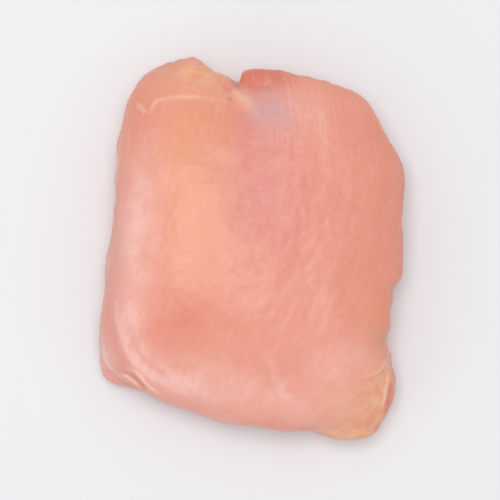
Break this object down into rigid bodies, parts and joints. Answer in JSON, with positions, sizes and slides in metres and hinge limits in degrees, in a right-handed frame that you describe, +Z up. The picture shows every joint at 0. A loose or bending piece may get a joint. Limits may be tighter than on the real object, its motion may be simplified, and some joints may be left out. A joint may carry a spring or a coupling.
{
  "type": "raw chicken thigh",
  "caption": "Raw, boned and skinned chicken thigh, lying smooth side up with its flaps folded underneath and a lobe of fat at one corner.",
  "frame": {"origin": "under the middle of the thigh's outline, on the plane that it rests on", "axes": "+X to the right and +Y away from the viewer along the length, as the thigh lies smooth side up, +Z up"},
  "size_m": [0.0772, 0.0968, 0.0263],
  "materials": {
    "raw_meat": "satin"
  },
  "bodies": {
    "root": {"chicken_thigh": "raw_meat"}
  },
  "joints": []
}
